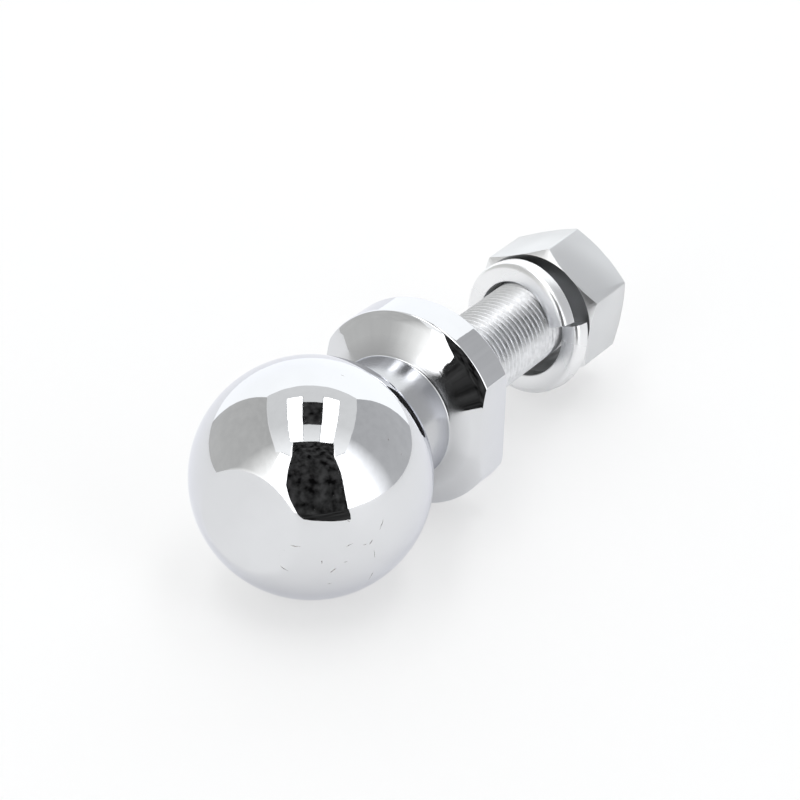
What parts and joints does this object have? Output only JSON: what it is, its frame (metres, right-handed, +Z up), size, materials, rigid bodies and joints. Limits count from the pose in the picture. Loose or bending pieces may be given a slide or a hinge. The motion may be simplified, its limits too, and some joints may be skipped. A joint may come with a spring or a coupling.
{
  "type": "threaded tow ball",
  "caption": "Chromed tow ball on a flanged, threaded shank with a split lock washer and a hex nut, lying on its side.",
  "frame": {"origin": "on the floor, under the middle of the part's box", "axes": "+Z up, +X from the ball towards the nut along the shank's line on the floor, +Y to the left of it"},
  "size_m": [0.1326, 0.0508, 0.0508],
  "materials": {
    "ball_chrome": "polished",
    "plated_spring_steel": "satin",
    "plated_steel": "satin"
  },
  "bodies": {
    "ball_stud": {"ball_stud": "ball_chrome"},
    "lock_washer": {"lock_washer": "plated_spring_steel"},
    "hex_nut": {"hex_nut": "plated_steel"}
  },
  "joints": [
    {"name": "washer_slide", "type": "slide", "parent": "ball_stud", "child": "lock_washer", "axis": [0.9978, 0, -0.0657], "range_m": [-0.03503, 0.0382]},
    {"name": "nut_turn", "type": "hinge", "parent": "lock_washer", "child": "hex_nut", "pos_m": [0.06575, 0, 0.01825], "axis": [0.9978, 0, -0.0657], "range_deg": [-7920, 8640]}
  ],
  "couplings": [
    {"joint": "washer_slide", "follows": "nut_turn", "m_per_rad": 0.00025266}
  ]
}
